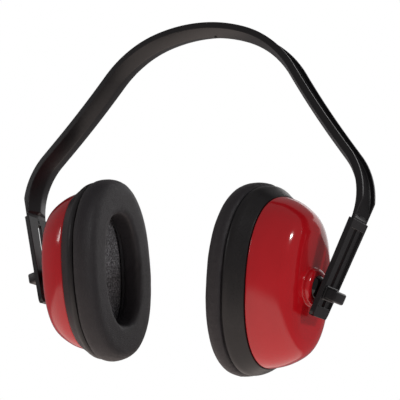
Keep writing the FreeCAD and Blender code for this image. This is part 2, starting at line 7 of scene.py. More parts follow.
import json
import logging
import math
from collections.abc import Callable, Sequence
from dataclasses import dataclass, field
from enum import Enum
from typing import Any

import bmesh
import bpy
from mathutils import Matrix, Vector, noise


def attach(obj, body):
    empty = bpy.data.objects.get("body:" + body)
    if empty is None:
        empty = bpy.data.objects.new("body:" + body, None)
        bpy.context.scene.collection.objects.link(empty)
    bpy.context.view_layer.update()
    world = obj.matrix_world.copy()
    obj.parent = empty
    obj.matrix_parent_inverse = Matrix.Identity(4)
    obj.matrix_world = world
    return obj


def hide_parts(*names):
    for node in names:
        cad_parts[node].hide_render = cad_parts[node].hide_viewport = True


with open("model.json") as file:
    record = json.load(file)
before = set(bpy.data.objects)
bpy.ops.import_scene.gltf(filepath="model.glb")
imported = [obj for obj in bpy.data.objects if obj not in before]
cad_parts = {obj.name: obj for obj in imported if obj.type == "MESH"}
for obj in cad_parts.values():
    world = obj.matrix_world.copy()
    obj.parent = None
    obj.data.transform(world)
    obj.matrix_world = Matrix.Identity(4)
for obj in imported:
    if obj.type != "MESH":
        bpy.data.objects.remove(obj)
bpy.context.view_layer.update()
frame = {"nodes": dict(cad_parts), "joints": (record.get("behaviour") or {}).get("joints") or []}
LOG = logging.getLogger("earmuff")
MM = 0.001
JOINTS = {joint["name"]: joint for joint in frame["joints"]}


class Side(Enum):
    """The two sides of the earmuff, each worth its sign along x."""

    RIGHT = 1
    LEFT = -1

    @property
    def suffix(self) -> str:
        """The word that ends the names of this side's pieces."""
        return self.name.lower()


class Closing(Enum):
    """What becomes of the last ring of a ring skin."""

    LOOP = "joined to the first ring"
    CAPS = "filled, as is the first ring"


# ---------------------------------------------------------------- node and mesh helpers


def linear(code: str) -> tuple[float, float, float, float]:
    """Turns an sRGB hex colour to the linear values that shaders take.

    Args:
        code: Six hex digits, such as "b0141e".

    Returns:
        Red, green, blue and an alpha of one.
    """
    channels = [int(code[i : i + 2], 16) / 255 for i in (0, 2, 4)]
    red, green, blue = (c / 12.92 if c <= 0.04045 else ((c + 0.055) / 1.055) ** 2.4 for c in channels)
    return red, green, blue, 1.0


def add_node(
    tree: bpy.types.NodeTree, kind: str, settings: dict[str, Any], inputs: dict[Any, Any]
) -> bpy.types.Node:
    """Adds a node, sets its properties, and sets or links its inputs.

    Args:
        tree: The node tree that gets it.
        kind: The node's type name.
        settings: Properties of the node itself.
        inputs: Socket name or number to a value, or to the output socket that feeds it.

    Returns:
        The new node.
    """
    node = tree.nodes.new(kind)
    for key, value in settings.items():
        setattr(node, key, value)
    for key, value in inputs.items():
        if isinstance(value, bpy.types.NodeSocket):
            tree.links.new(value, node.inputs[key])
        else:
            node.inputs[key].default_value = value
    return node


def new_material(name: str) -> tuple[bpy.types.Material, bpy.types.NodeTree, bpy.types.NodeSocket]:
    """Makes a material.

    Args:
        name: The material's name.

    Returns:
        The material, its node tree, and the socket of its Object coordinates.
    """
    material = bpy.data.materials.new(name)
    material.use_nodes = True
    tree = material.node_tree
    tree.nodes.clear()
    return material, tree, add_node(tree, "ShaderNodeTexCoord", {}, {}).outputs["Object"]


def make_object(mesh: bmesh.types.BMesh, name: str, place: Matrix | None = None) -> bpy.types.Object:
    """Turns a bmesh into a smooth object at the origin.

    Args:
        mesh: The bmesh, in millimetres; it is freed.
        name: The object's name.
        place: Where its own frame lies in the row's frame, in metres.

    Returns:
        The linked object, whose mesh is in metres in the row's frame.
    """
    bmesh.ops.scale(mesh, vec=(MM, MM, MM), verts=mesh.verts)
    if place is not None:
        bmesh.ops.transform(mesh, matrix=place, verts=mesh.verts)
    bmesh.ops.recalc_face_normals(mesh, faces=mesh.faces)
    data = bpy.data.meshes.new(name)
    mesh.to_mesh(data)
    mesh.free()
    data.shade_smooth()
    made = bpy.data.objects.new(name, data)
    bpy.context.scene.collection.objects.link(made)
    return made


def add_modifier(piece: bpy.types.Object, kind: str, **settings: Any) -> bpy.types.Modifier:
    """Adds a modifier with its settings to a piece."""
    modifier = piece.modifiers.new(kind.title(), kind)
    for key, value in settings.items():
        setattr(modifier, key, value)
    return modifier


def subdivide(piece: bpy.types.Object, levels: int) -> None:
    """Adds a subdivision surface with the same levels on screen and in a render."""
    add_modifier(piece, "SUBSURF", levels=levels, render_levels=levels)


def round_edges(piece: bpy.types.Object, width: float, segments: int, limit: float) -> None:
    """Rounds the edges of a piece that are sharper than a limit.

    Args:
        piece: The piece to finish.
        width: Bevel width in millimetres.
        segments: Number of steps around the edge.
        limit: Smallest turn across an edge that is rounded, in degrees.
    """
    add_modifier(
        piece, "BEVEL", width=width * MM, segments=segments, limit_method="ANGLE",
        angle_limit=math.radians(limit), use_clamp_overlap=False, harden_normals=True,
    )


def fit_out(piece: bpy.types.Object, body: str, slot: str, finish: bpy.types.Material, *nodes: str) -> None:
    """Gives a piece its material and its body, and hides the nodes it stands for."""
    piece.data.materials.clear()
    piece.data.materials.append(finish)
    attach(piece, body)
    if nodes:
        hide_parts(*nodes)
    LOG.info("%s rides on %s", piece.name, body)


def dress(node: str, finish: bpy.types.Material) -> None:
    """Gives a carried-over CAD node a better material."""
    piece = frame["nodes"][node]
    piece.data.materials.clear()
    piece.data.materials.append(finish)
    LOG.info("%s carried over", node)


def eased(share: float) -> float:
    """Smooth step from 0 to 1."""
    share = min(max(share, 0.0), 1.0)
    return share * share * (3 - 2 * share)


# ---------------------------------------------------------------- places


@dataclass(frozen=True)
class Place:
    """The frame of a sub-assembly, in metres: an origin, a way outwards and a way up."""

    origin: Vector
    outward: Vector
    up: Vector

    def matrix(self) -> Matrix:
        """From the sub-assembly's frame to the row's frame."""
        across = self.up.cross(self.outward)
        turn = Matrix((self.outward, across, self.up)).transposed().to_4x4()
        turn.translation = self.origin
        return turn


def stud_place(side: Side) -> Place:
    """Where a ball stud is: its origin at the ball, outwards through the arm."""
    spin = JOINTS[f"spin_{side.suffix}"]
    slide = JOINTS[f"slide_{side.suffix}"]
    return Place(Vector(spin["pos_m"]), Vector(spin["axis"]).normalized(), Vector(slide["axis"]).normalized())


def cup_place(side: Side) -> Place:
    """Where a cup is: its origin at the ball, outwards away from the head."""
    up = Vector(JOINTS[f"yaw_{side.suffix}"]["axis"]).normalized()
    outward = up.cross(Vector(JOINTS[f"tilt_{side.suffix}"]["axis"])).normalized()
    if outward.x * side.value < 0:
        outward.negate()
    return Place(stud_place(side).origin, outward, up)


# ---------------------------------------------------------------- finishes


@dataclass(frozen=True)
class MouldedPlastic:
    """Injection-moulded plastic, whose skin copies its mould.

    A polished mould gives long slow waves and a sharp reflection, and a spark-eroded one a fine grit
    that breaks the reflection up.
    """

    name: str
    colour: str
    worn: str
    roughness: tuple[float, float]
    ior: float = 1.5
    coat: float = 0.0
    grit: float = 0.5
    grit_depth: float = 0.01
    wave: float = 18.0
    wave_depth: float = 0.05

    def material(self) -> bpy.types.Material:
        """Builds the node material."""
        material, tree, place = new_material(self.name)
        cloud = add_node(tree, "ShaderNodeTexNoise", {}, {
            "Vector": place, "Scale": 1 / (self.wave * MM), "Detail": 4.0, "Roughness": 0.6,
        })
        grit = add_node(tree, "ShaderNodeTexNoise", {}, {
            "Vector": place, "Scale": 1 / (self.grit * MM), "Detail": 3.0, "Roughness": 0.65,
        })
        patchy = add_node(tree, "ShaderNodeMapRange", {}, {
            "Value": cloud.outputs["Fac"], "From Min": 0.3, "From Max": 0.7, "To Min": 0.0, "To Max": 1.0,
        })
        colour = add_node(tree, "ShaderNodeMix", {"data_type": "RGBA"}, {
            "Factor": patchy.outputs["Result"], 6: linear(self.colour), 7: linear(self.worn),
        })
        rough = add_node(tree, "ShaderNodeMapRange", {}, {
            "Value": grit.outputs["Fac"], "From Min": 0.3, "From Max": 0.7,
            "To Min": self.roughness[0], "To Max": self.roughness[1],
        })
        waves = add_node(tree, "ShaderNodeBump", {}, {
            "Strength": 1.0, "Distance": self.wave_depth * MM, "Height": cloud.outputs["Fac"],
        })
        bumps = add_node(tree, "ShaderNodeBump", {}, {
            "Strength": 1.0, "Distance": self.grit_depth * MM, "Height": grit.outputs["Fac"],
            "Normal": waves.outputs["Normal"],
        })
        surface = add_node(tree, "ShaderNodeBsdfPrincipled", {}, {
            "Base Color": colour.outputs[2], "Roughness": rough.outputs["Result"], "IOR": self.ior,
            "Coat Weight": self.coat, "Coat Roughness": 0.04, "Normal": bumps.outputs["Normal"],
        })
        add_node(tree, "ShaderNodeOutputMaterial", {}, {"Surface": surface.outputs["BSDF"]})
        return material


@dataclass(frozen=True)
class VinylSkin:
    """Soft PVC skin, embossed with a fine hide grain of cells about a millimetre across."""

    name: str = "soft PVC skin, embossed"
    colour: str = "211f22"
    worn: str = "2d2a2e"
    cell: float = 0.9
    cell_depth: float = 0.06
    pucker: float = 7.0

    def material(self) -> bpy.types.Material:
        """Builds the node material."""
        material, tree, place = new_material(self.name)
        bend = add_node(tree, "ShaderNodeTexNoise", {}, {
            "Vector": place, "Scale": 1 / (2.5 * self.cell * MM), "Detail": 2.0,
        })
        bent = add_node(tree, "ShaderNodeVectorMath", {"operation": "MULTIPLY_ADD"}, {
            0: bend.outputs["Color"], 1: (0.5 * self.cell * MM,) * 3, 2: place,
        })
        cells = add_node(tree, "ShaderNodeTexVoronoi", {"feature": "DISTANCE_TO_EDGE"}, {
            "Vector": bent.outputs["Vector"], "Scale": 1 / (self.cell * MM),
        })
        grain = add_node(tree, "ShaderNodeMapRange", {"interpolation_type": "SMOOTHSTEP"}, {
            "Value": cells.outputs["Distance"], "From Min": 0.0, "From Max": 0.25,
            "To Min": 0.0, "To Max": 1.0,
        })
        soft = add_node(tree, "ShaderNodeTexNoise", {}, {
            "Vector": place, "Scale": 1 / (self.pucker * MM), "Detail": 3.0,
        })
        colour = add_node(tree, "ShaderNodeMix", {"data_type": "RGBA"}, {
            "Factor": soft.outputs["Fac"], 6: linear(self.colour), 7: linear(self.worn),
        })
        rough = add_node(tree, "ShaderNodeMapRange", {}, {
            "Value": grain.outputs["Result"], "From Min": 0.0, "From Max": 1.0,
            "To Min": 0.62, "To Max": 0.47,
        })
        puckers = add_node(tree, "ShaderNodeBump", {}, {
            "Strength": 1.0, "Distance": 0.12 * MM, "Height": soft.outputs["Fac"],
        })
        bumps = add_node(tree, "ShaderNodeBump", {}, {
            "Strength": 1.0, "Distance": self.cell_depth * MM, "Height": grain.outputs["Result"],
            "Normal": puckers.outputs["Normal"],
        })
        surface = add_node(tree, "ShaderNodeBsdfPrincipled", {}, {
            "Base Color": colour.outputs[2], "Roughness": rough.outputs["Result"], "IOR": 1.52,
            "Sheen Weight": 0.08, "Sheen Roughness": 0.4, "Normal": bumps.outputs["Normal"],
        })
        add_node(tree, "ShaderNodeOutputMaterial", {}, {"Surface": surface.outputs["BSDF"]})
        return material


@dataclass(frozen=True)
class OpenFoam:
    """Open-cell polyurethane foam: pale cell walls, with painted shade darkening the pores where they sink
    in.
    """

    name: str = "open-cell polyurethane foam"
    wall: str = "a4a4a8"
    # The pit grey is painted shade for the hollows of the pores.
    pit: str = "424244"
    pore: float = 0.9

    def material(self) -> bpy.types.Material:
        """Builds the node material."""
        material, tree, place = new_material(self.name)
        pores = add_node(tree, "ShaderNodeTexVoronoi", {}, {
            "Vector": place, "Scale": 1 / (self.pore * MM), "Randomness": 1.0,
        })
        fluff = add_node(tree, "ShaderNodeTexNoise", {}, {
            "Vector": place, "Scale": 1 / (0.6 * self.pore * MM), "Detail": 4.0, "Roughness": 0.7,
        })
        depth = add_node(tree, "ShaderNodeMath", {"operation": "MULTIPLY"}, {
            0: pores.outputs["Distance"], 1: fluff.outputs["Fac"],
        })
        # Painted shade: the colour runs from the dark pit grey to the pale walls, by the same depth that
        # bumps the pores.
        colour = add_node(tree, "ShaderNodeValToRGB", {}, {"Fac": depth.outputs["Value"]})
        colour.color_ramp.elements[0].color = linear(self.pit)
        colour.color_ramp.elements[0].position = 0.12
        colour.color_ramp.elements[1].color = linear(self.wall)
        colour.color_ramp.elements[1].position = 0.52
        bumps = add_node(tree, "ShaderNodeBump", {}, {
            "Strength": 1.0, "Distance": 0.5 * MM, "Height": depth.outputs["Value"],
        })
        surface = add_node(tree, "ShaderNodeBsdfPrincipled", {}, {
            "Base Color": colour.outputs["Color"], "Roughness": 0.95, "IOR": 1.45,
            "Specular IOR Level": 0.2, "Normal": bumps.outputs["Normal"],
        })
        add_node(tree, "ShaderNodeOutputMaterial", {}, {"Surface": surface.outputs["BSDF"]})
        return material


@dataclass(frozen=True)
class SpringSteel:
    """Rolled spring steel, whose rolling lines stretch its reflection along the strip."""

    name: str = "rolled spring steel"
    colour: str = "b9bbbe"
    line: float = 0.35

    def material(self) -> bpy.types.Material:
        """Builds the node material."""
        material, tree, place = new_material(self.name)
        stretched = add_node(tree, "ShaderNodeMapping", {}, {"Vector": place, "Scale": (1.0, 1.0, 0.05)})
        lines = add_node(tree, "ShaderNodeTexNoise", {}, {
            "Vector": stretched.outputs["Vector"], "Scale": 1 / (self.line * MM), "Detail": 2.0,
        })
        rough = add_node(tree, "ShaderNodeMapRange", {}, {
            "Value": lines.outputs["Fac"], "From Min": 0.3, "From Max": 0.7, "To Min": 0.22, "To Max": 0.4,
        })
        bumps = add_node(tree, "ShaderNodeBump", {}, {
            "Strength": 1.0, "Distance": 0.005 * MM, "Height": lines.outputs["Fac"],
        })
        surface = add_node(tree, "ShaderNodeBsdfPrincipled", {}, {
            "Base Color": linear(self.colour), "Metallic": 1.0, "Roughness": rough.outputs["Result"],
            "Normal": bumps.outputs["Normal"],
        })
        add_node(tree, "ShaderNodeOutputMaterial", {}, {"Surface": surface.outputs["BSDF"]})
        return material


@dataclass
class Finishes:
    """Every finish of the object, built once."""

    band: bpy.types.Material = field(default_factory=MouldedPlastic(
        # Polypropylene from a lightly eroded mould: a broad soft sheen with no sharp images.
        name="polypropylene, moulded satin", colour="151416", worn="1a191b", roughness=(0.28, 0.38),
        grit=0.45, grit_depth=0.008, wave=14.0, wave_depth=0.05,
    ).material)
    ring: bpy.types.Material = field(default_factory=MouldedPlastic(
        # ABS from an eroded mould: duller than the band, with a visible fine grit.
        name="ABS, moulded with a fine grit", colour="171617", worn="1e1d1e", roughness=(0.26, 0.42),
        grit=0.8, grit_depth=0.06, wave=12.0, wave_depth=0.03,
    ).material)
    shell: bpy.types.Material = field(default_factory=MouldedPlastic(
        # ABS from a polished mould: a deep colour under a clear, slightly wavy reflection.
        name="ABS, moulded glossy", colour="cc1620", worn="d41a25", roughness=(0.11, 0.15),
        ior=1.54, coat=0.25, grit=1.2, grit_depth=0.002, wave=22.0, wave_depth=0.06,
    ).material)
    stud: bpy.types.Material = field(default_factory=MouldedPlastic(
        # Nylon, turned and polished so that it swivels: nearly a mirror at its highlight.
        name="nylon, polished", colour="0c0c0d", worn="101011", roughness=(0.10, 0.16),
        coat=0.3, grit=0.8, grit_depth=0.002, wave=6.0, wave_depth=0.01,
    ).material)
    socket: bpy.types.Material = field(default_factory=MouldedPlastic(
        # Acetal, moulded dull because it isn't seen.
        name="acetal, moulded dull", colour="2b2b2e", worn="333336", roughness=(0.45, 0.6),
    ).material)
    skin: bpy.types.Material = field(default_factory=VinylSkin().material)
    foam: bpy.types.Material = field(default_factory=OpenFoam().material)
    steel: bpy.types.Material = field(default_factory=SpringSteel().material)


# ---------------------------------------------------------------- ring skins


@dataclass(frozen=True)
class Ring:
    """An oval across a cup's outward axis, in millimetres."""

    depth: float
    width: float
    height: float
    power: float = 2.33

    def at(self, angle: float) -> Vector:
        """The oval's point in the direction of an angle."""
        spread = abs(math.cos(angle) / self.width) ** self.power
        spread += abs(math.sin(angle) / self.height) ** self.power
        reach = spread ** (-1 / self.power)
        return Vector((self.depth, reach * math.cos(angle), reach * math.sin(angle)))


def round_ring(depth: float, radius: float) -> Ring:
    """A circle, as a ring."""
    return Ring(depth, radius, radius, 2.0)


def between(rings: Sequence[Ring], steps: int) -> list[Ring]:
    """Puts smooth rings between some given ones.

    Args:
        rings: The rings to pass through.
        steps: How many rings each gap is divided into.

    Returns:
        The rings and those between them, on a Catmull-Rom curve.
    """
    padded = [rings[0], *rings, rings[-1]]
    out = []
    for i in range(1, len(padded) - 2):
        for step in range(steps):
            t = step / steps
            values = []
            for key in ("depth", "width", "height", "power"):
                a, b, c, d = (getattr(r, key) for r in padded[i - 1 : i + 3])
                slope = (c - a) * t
                bend = (2 * a - 5 * b + 4 * c - d) * t**2
                twist = (3 * b - a - 3 * c + d) * t**3
                values.append((2 * b + slope + bend + twist) / 2)
            out.append(Ring(*values))
    return [*out, rings[-1]]


def ring_skin(rings: Sequence[Ring], closing: Closing, count: int = 72) -> bmesh.types.BMesh:
    """Draws a skin through rings by extruding a circle from one to the next.

    Args:
        rings: The rings in order.
        closing: Whether the ends are joined to each other or filled.
        count: Number of points around each ring.

    Returns:
        A closed bmesh in millimetres.
    """
    mesh = bmesh.new()
    bearing = mesh.verts.layers.float.new("bearing")
    verts = bmesh.ops.create_circle(mesh, segments=count, radius=1.0)["verts"]
    for vert in verts:
        vert[bearing] = math.atan2(vert.co.y, vert.co.x)
    edges = first = list(mesh.edges)
    for vert in verts:
        vert.co = rings[0].at(vert[bearing])
    for ring in rings[1:]:
        made = bmesh.ops.extrude_edge_only(mesh, edges=edges)["geom"]
        edges = [item for item in made if isinstance(item, bmesh.types.BMEdge)]
        for vert in (item for item in made if isinstance(item, bmesh.types.BMVert)):
            vert.co = ring.at(vert[bearing])
    if closing is Closing.LOOP:
        bmesh.ops.bridge_loops(mesh, edges=first + edges)
    else:
        for loop in (first, edges):
            bmesh.ops.contextual_create(mesh, geom=loop)
    return mesh


def turned(profile: Sequence[tuple[float, float]], steps: int = 48) -> bmesh.types.BMesh:
    """Spins a profile about the x axis, as a lathe would.

    Args:
        profile: Points as distance along x and radius, in millimetres.
        steps: Number of steps around.

    Returns:
        A closed bmesh in millimetres.
    """
    mesh = bmesh.new()
    verts = [mesh.verts.new((x, radius, 0.0)) for x, radius in profile]
    edges = [mesh.edges.new(pair) for pair in zip(verts, verts[1:])]
    bmesh.ops.spin(
        mesh, geom=verts + edges, cent=(0, 0, 0), axis=(1, 0, 0), angle=math.tau,
        steps=steps, use_merge=True,
    )
    bmesh.ops.remove_doubles(mesh, verts=mesh.verts, dist=1e-4)
    return mesh


def arc(
    centre: tuple[float, float], radius: float, start: float, end: float, steps: int
) -> list[tuple[float, float]]:
    """Points of an arc of a profile.

    Args:
        centre: The arc's centre as distance along x and radius.
        radius: The arc's radius.
        start: First angle in degrees, from the x axis.
        end: Last angle in degrees.
        steps: Number of gaps between points.

    Returns:
        The points, ends included.
    """
    angles = [math.radians(start + (end - start) * i / steps) for i in range(steps + 1)]
    return [(centre[0] + radius * math.cos(a), centre[1] + radius * math.sin(a)) for a in angles]


def block(low: Sequence[float], high: Sequence[float]) -> bmesh.types.BMesh:
    """A box between two corners, in millimetres."""
    mesh = bmesh.new()
    bmesh.ops.create_cube(mesh, size=1.0)
    bmesh.ops.scale(mesh, vec=[h - l for l, h in zip(low, high)], verts=mesh.verts)
    bmesh.ops.translate(mesh, vec=[(h + l) / 2 for l, h in zip(low, high)], verts=mesh.verts)
    return mesh


def cut(mesh: bmesh.types.BMesh, axis: int, where: float) -> None:
    """Cuts every face of a bmesh along a plane square to an axis."""
    normal = Vector([float(i == axis) for i in range(3)])
    everything = [*mesh.verts, *mesh.edges, *mesh.faces]
    bmesh.ops.bisect_plane(mesh, geom=everything, plane_co=normal * where, plane_no=normal, dist=1e-5)


def push(mesh: bmesh.types.BMesh, faces: Sequence[bmesh.types.BMFace], move: Sequence[float]) -> None:
    """Extrudes some faces of a closed bmesh and moves them, with walls left behind them."""
    made = bmesh.ops.extrude_face_region(mesh, geom=faces)["geom"]
    moved = [item for item in made if isinstance(item, bmesh.types.BMVert)]
    bmesh.ops.translate(mesh, vec=move, verts=moved)
    bmesh.ops.delete(mesh, geom=[face for face in faces if face.is_valid], context="FACES")
    mesh.normal_update()


def chamfer(
    mesh: bmesh.types.BMesh, edges: Sequence[bmesh.types.BMEdge], offset: float, segments: int
) -> None:
    """Bevels some edges of a bmesh: flat for one segment, and rounded for more."""
    bmesh.ops.bevel(
        mesh, geom=edges, offset=offset, segments=segments, profile=0.5, affect="EDGES", material=-1,
    )


def pour(target: bmesh.types.BMesh, source: bmesh.types.BMesh) -> None:
    """Moves the whole of one bmesh into another."""
    data = bpy.data.meshes.new("poured")
    source.to_mesh(data)
    source.free()
    target.from_mesh(data)
    bpy.data.meshes.remove(data)


# ---------------------------------------------------------------- headband

# Corners of the band's section by their number: those underneath, and those of the gutter's bottom.
UNDERSIDE = (0, 1, 10, 11)
GUTTER = (4, 5, 6, 7)


@dataclass
class Headband:
    """The sprung band: a ridged gutter swept along arcs, with a slotted arm at each end."""

    crown: tuple[float, float] = (86.0, 18.3)
    flank: tuple[float, float] = (58.3, 36.4)
    flare: tuple[float, float] = (558.0, 5.1)
    run_length: float = 9.1
    shoulder_radius: float = 34.8
    arm_lean: float = 19.8
    arm_length: float = 49.3
    half_width: float = 8.4
    wall: float = 1.8
    ridge_depth: float = 2.7
    ridge_half: float = 0.8
    flange_width: float = 1.6
    flange_height: float = 3.4
    skin: float = 0.9
    neck_height: float = 1.2
    ridge_end: float = 52.5
    fade: float = 3.5
    level_reach: float = 0.6
    rim_length: float = 51.0
    rim_lap: float = 0.6
    rim_half: float = 9.2
    rim_taper: float = 1.3
    rim_height: float = 1.9
    rim_corner: float = 3.0
    floor_height: float = 1.0
    recess_half: float = 6.9
    slot_half: float = 1.4
    slot_ends: tuple[float, float] = (5.0, 46.5)
    step: float = 1.2
    gate_spot: tuple[float, float, float] = (6.0, -0.6, 0.0)
    gate_radius: float = 0.9
    gate_rise: float = 0.5
    overlap: float = 2.0

    def section(self) -> list[tuple[float, float]]:
        """The gutter's outline as distance across and height above the ridge."""
        inside = self.half_width - self.flange_width
        slope = self.ridge_depth / (self.half_width - self.ridge_half)
        top = self.ridge_depth + self.flange_height
        side = [
            (self.ridge_half, 0.0),
            (self.half_width, self.ridge_depth),
            (self.half_width, top),
            (inside, top),
            (inside, slope * (inside - self.ridge_half) + self.wall),
            (self.ridge_half, self.wall),
        ]
        return side + [(-y, z) for y, z in reversed(side)]

    def sweep(self) -> tuple[bmesh.types.BMesh, Vector]:
        """Sweeps the section from the crown to the arm.

        Returns:
            The bmesh of the right half, and the point where the arm ends.
        """
        mesh = bmesh.new()
        corner = mesh.verts.layers.int.new("corner")
        verts = []
        for number, (y, z) in enumerate(self.section()):
            vert = mesh.verts.new((0.0, y, z))
            vert[corner] = number
            verts.append(vert)
        edges = [mesh.edges.new((a, b)) for a, b in zip(verts, verts[1:] + verts[:1])]
        place, heading = Vector((0.0, 0.0, self.ridge_depth)), 0.0
        flare = (-self.flare[0], -self.flare[1])
        lean = self.arm_lean - self.crown[1] - self.flank[1] + self.flare[1]
        shoulder = (self.shoulder_radius, lean + 90.0)
        run, end = (0.0, self.run_length), (0.0, self.arm_length)
        for radius, turn in (self.crown, self.flank, flare, run, shoulder, end):
            geom = [*verts, *edges]
            if radius:
                centre = place - Vector((math.sin(heading), 0.0, math.cos(heading))) * radius
                heading += math.radians(turn)
                place = centre + Vector((math.sin(heading), 0.0, math.cos(heading))) * radius
                steps = max(3, round(abs(radius * math.radians(turn)) / self.step))
                made = bmesh.ops.spin(
                    mesh, geom=geom, cent=centre, axis=(0, 1, 0), angle=math.radians(turn), steps=steps,
                )["geom_last"]
            else:
                along = Vector((math.cos(heading), 0.0, -math.sin(heading)))
                place = place + along * turn
                made = bmesh.ops.extrude_edge_only(mesh, edges=edges)["geom"]
                moved = [item for item in made if isinstance(item, bmesh.types.BMVert)]
                length = turn if turn < self.arm_length else self.overlap
                bmesh.ops.translate(mesh, vec=along * length, verts=moved)
            verts = [item for item in made if isinstance(item, bmesh.types.BMVert)]
            edges = [item for item in made if isinstance(item, bmesh.types.BMEdge)]
        bmesh.ops.contextual_create(mesh, geom=edges)
        return mesh, place

    def flatten(self, mesh: bmesh.types.BMesh, arm: Matrix) -> None:
        """Levels the gutter where it runs into the arm.

        Args:
            mesh: The swept right half.
            arm: The arm's frame in millimetres: x outwards, z up from its end.
        """
        corner = mesh.verts.layers.int["corner"]
        inverse = arm.inverted()
        for vert in mesh.verts:
            spot = inverse @ vert.co
            if spot.z > self.rim_length + self.shoulder_radius * self.level_reach:
                continue
            beyond = eased((spot.z - self.ridge_end) / self.fade)
            if vert[corner] in UNDERSIDE:
                spot.x = max(spot.x, -self.skin - beyond * self.shoulder_radius)
            elif vert[corner] in GUTTER:
                spot.x = max(spot.x, self.neck_height - beyond * self.shoulder_radius)
            spot.x = min(spot.x, self.neck_height)
            vert.co = arm @ spot
        bmesh.ops.dissolve_degenerate(mesh, dist=0.05, edges=mesh.edges)

    def arm_plate(self) -> bmesh.types.BMesh:
        """The arm in its own frame: a floor with a slot, inside a raised and tapered rim."""
        low, high = self.slot_ends
        mesh = block(
            (-self.skin, -self.rim_half, -self.rim_lap), (self.floor_height, self.rim_half, self.rim_length)
        )
        for where in (-self.recess_half, -self.slot_half, self.slot_half, self.recess_half):
            cut(mesh, 1, where)
        for where in (low, high, (low + high) / 2):
            cut(mesh, 2, where)

        def inside(face: bmesh.types.BMFace, half: float) -> bool:
            """Whether a face lies across the arm, within the slot's length and a half width."""
            middle = face.calc_center_median()
            return abs(face.normal.x) > 0.9 and abs(middle.y) < half and low < middle.z < high

        mesh.normal_update()
        rim = [f for f in mesh.faces if f.normal.x > 0.9 and not inside(f, self.recess_half)]
        push(mesh, rim, (self.rim_height - self.floor_height, 0, 0))
        doomed = [f for f in mesh.faces if inside(f, self.slot_half)]
        border = [e for f in doomed for e in f.edges if sum(other in doomed for other in e.link_faces) == 1]
        inner = [e for f in doomed for e in f.edges if e not in border]
        bmesh.ops.delete(mesh, geom=doomed, context="FACES_ONLY")
        bmesh.ops.delete(mesh, geom=[e for e in set(inner) if e.is_valid and e.is_wire], context="EDGES")
        bmesh.ops.bridge_loops(mesh, edges=list({e for e in border if e.is_valid}))
        for vert in mesh.verts:
            if abs(vert.co.y) > self.recess_half + 0.1:
                share = (self.rim_length - vert.co.z) / (self.rim_length + self.rim_lap)
                vert.co.y -= math.copysign(self.rim_taper * share, vert.co.y)
        ends = [
            e for e in mesh.edges
            if all(v.co.z < 0.01 - self.rim_lap and abs(v.co.y) > self.recess_half + 0.5 for v in e.verts)
        ]
        chamfer(mesh, ends, self.rim_corner, 6)
        return mesh

    def build(self, finishes: Finishes) -> None:
        """Makes the band and its arms as one piece."""
        mesh, end = self.sweep()
        arm = Matrix.Rotation(math.radians(self.arm_lean), 4, "Y")
        arm.translation = end
        self.flatten(mesh, arm)
        plate = self.arm_plate()
        bmesh.ops.transform(plate, matrix=arm, verts=plate.verts)
        pour(mesh, plate)
        bmesh.ops.mirror(
            mesh, geom=[*mesh.verts, *mesh.edges, *mesh.faces], matrix=Matrix.Identity(4),
            merge_dist=1e-4, axis="X",
        )
        bmesh.ops.remove_doubles(mesh, verts=[v for v in mesh.verts if abs(v.co.x) < 1e-3], dist=1e-3)
        bmesh.ops.recalc_face_normals(mesh, faces=mesh.faces)
        rise, radius = self.gate_rise, self.gate_radius
        gate = turned([(-rise, 0.0), (-rise, radius), (self.wall / 2, radius)])
        bmesh.ops.rotate(gate, cent=(0, 0, 0), matrix=Matrix.Rotation(-math.pi / 2, 3, "Y"), verts=gate.verts)
        bmesh.ops.translate(gate, vec=self.gate_spot, verts=gate.verts)
        pour(mesh, gate)
        band = make_object(mesh, "band")
        round_edges(band, width=0.3, segments=3, limit=20.0)
        fit_out(band, "headband", "band_black", finishes.band, "headband")


# ---------------------------------------------------------------- slider


@dataclass
class Slider:
    """The button and its foot, the spring washer and the ball stud of one side."""

    side: Side
    ball_radius: float = 6.5
    seat: float = 8.6
    washer: float = 0.4
    foot: float = 0.9
    foot_half: tuple[float, float] = (6.5, 3.7)
    post_half: tuple[float, float] = (6.0, 2.9)
    post_length: float = 6.6
    post_round: float = 1.1
    neck_radius: float = 1.55
    pin_radius: float = 1.3
    pin_length: float = 5.0

    def button(self) -> bmesh.types.BMesh:
        """The button: a chamfered foot under an oblong post with rounded edges."""
        base = self.seat + self.washer
        wide, tall = self.foot_half
        foot = block((base, -wide, -tall), (base + self.foot, wide, tall))
        rim = [e for e in foot.edges if all(v.co.x > base + self.foot / 2 for v in e.verts)]
        chamfer(foot, rim, self.foot / 2, 1)
        wide, tall = self.post_half
        top = base + self.post_length
        post = block((base + 0.2, -wide, -tall), (top, wide, tall))
        rim = [e for e in post.edges if any(v.co.x > top - 0.1 for v in e.verts)]
        chamfer(post, rim, self.post_round, 6)
        pour(foot, post)
        return foot

    def stud(self) -> bmesh.types.BMesh:
        """The ball stud, turned as one piece."""
        lean = math.degrees(math.asin(self.neck_radius / self.ball_radius))
        shoulder = self.seat + self.washer
        profile = arc((0, 0), self.ball_radius, 180, lean, 24)
        profile += [(shoulder - 0.2, self.neck_radius), (shoulder, self.neck_radius - 0.2)]
        profile += [(shoulder, self.pin_radius), (shoulder + self.pin_length, self.pin_radius)]
        profile += [(shoulder + self.pin_length, 0.0)]
        return turned(profile)

    def build(self, finishes: Finishes) -> None:
        """Makes this side's slider pieces."""
        suffix = self.side.suffix
        place = stud_place(self.side).matrix()
        button = make_object(self.button(), f"button_{suffix}", place)
        round_edges(button, width=0.2, segments=2, limit=35.0)
        fit_out(button, f"slider_{suffix}", "band_black", finishes.band, f"adjuster_button_{suffix}")
        stud = make_object(self.stud(), f"stud_{suffix}", place)
        round_edges(stud, width=0.15, segments=2, limit=40.0)
        fit_out(stud, f"stud_{suffix}", "stud_black", finishes.stud, f"ball_stud_{suffix}")
        dress(f"spring_washer_{suffix}", finishes.steel)


# ---------------------------------------------------------------- cup


